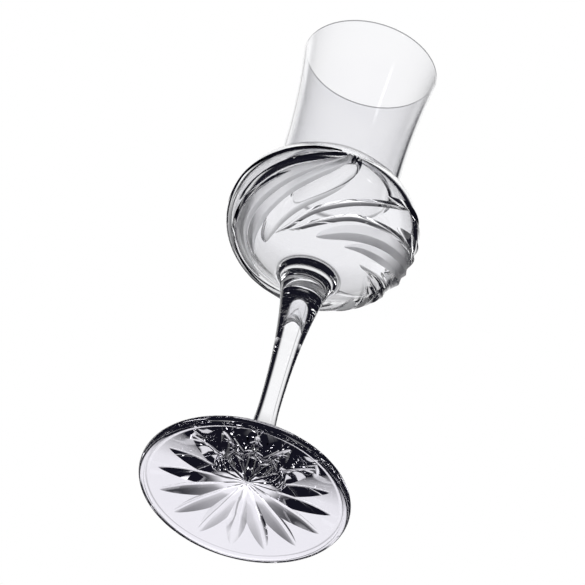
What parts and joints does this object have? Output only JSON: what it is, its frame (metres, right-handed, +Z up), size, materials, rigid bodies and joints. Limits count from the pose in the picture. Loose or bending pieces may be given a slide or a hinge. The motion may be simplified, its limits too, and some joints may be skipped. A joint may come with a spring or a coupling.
{
  "type": "grappa glass",
  "caption": "Stemmed grappa glass in cut crystal: star-cut foot, tapered stem and a pot-bellied bowl with swirling cuts and a tall mouth that widens to the rim.",
  "frame": {"origin": "middle of the standing ring under the foot, on the table plane", "axes": "+Z up along the axis of the glass, -Y towards the picture's viewer"},
  "size_m": [0.0652, 0.0652, 0.175],
  "materials": {
    "foot_crystal": "clear polished crystal with a mitre-cut star",
    "stem_crystal": "clear fire-polished crystal",
    "bowl_crystal": "clear polished crystal with polished and satin wheel cuts"
  },
  "bodies": {
    "root": {"foot": "foot_crystal", "stem": "stem_crystal", "bowl": "bowl_crystal"}
  },
  "joints": []
}
